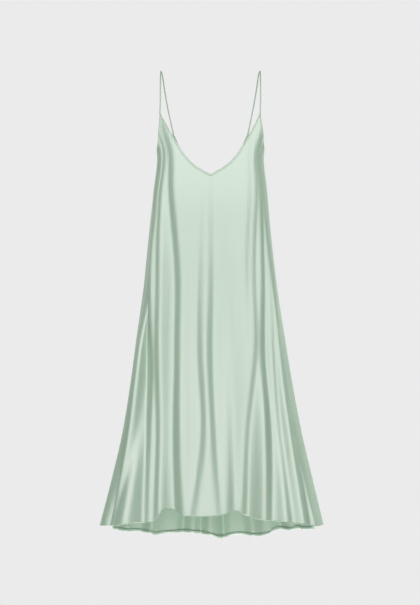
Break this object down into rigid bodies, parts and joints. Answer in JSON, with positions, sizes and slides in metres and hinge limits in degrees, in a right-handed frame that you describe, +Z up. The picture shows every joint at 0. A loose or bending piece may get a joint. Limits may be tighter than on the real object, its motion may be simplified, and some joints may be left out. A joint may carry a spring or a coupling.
{
  "type": "slip dress",
  "caption": "Sleeveless midi slip dress in satin with a V neck, thin shoulder straps and a flared skirt, filled out as worn, open at neck, armholes and hem.",
  "frame": {"origin": "midway between the two places where the straps rest on the shoulders, at the height of their undersides", "axes": "+Z up along the wearer, -Y out of the front of the dress, +X to the right of somebody looking at the front"},
  "size_m": [0.6002, 0.4065, 1.2772],
  "materials": {
    "satin": "soft mint satin with a mild sheen",
    "binding": "narrow bias binding in the same satin",
    "strap": "turned tube of the same satin"
  },
  "bodies": {
    "root": {"front_panel": "satin", "back_panel": "satin", "front_neck_binding": "binding", "back_neck_binding": "binding", "right_armhole_binding": "binding", "left_armhole_binding": "binding", "left_strap": "strap", "right_strap": "strap"}
  },
  "joints": []
}
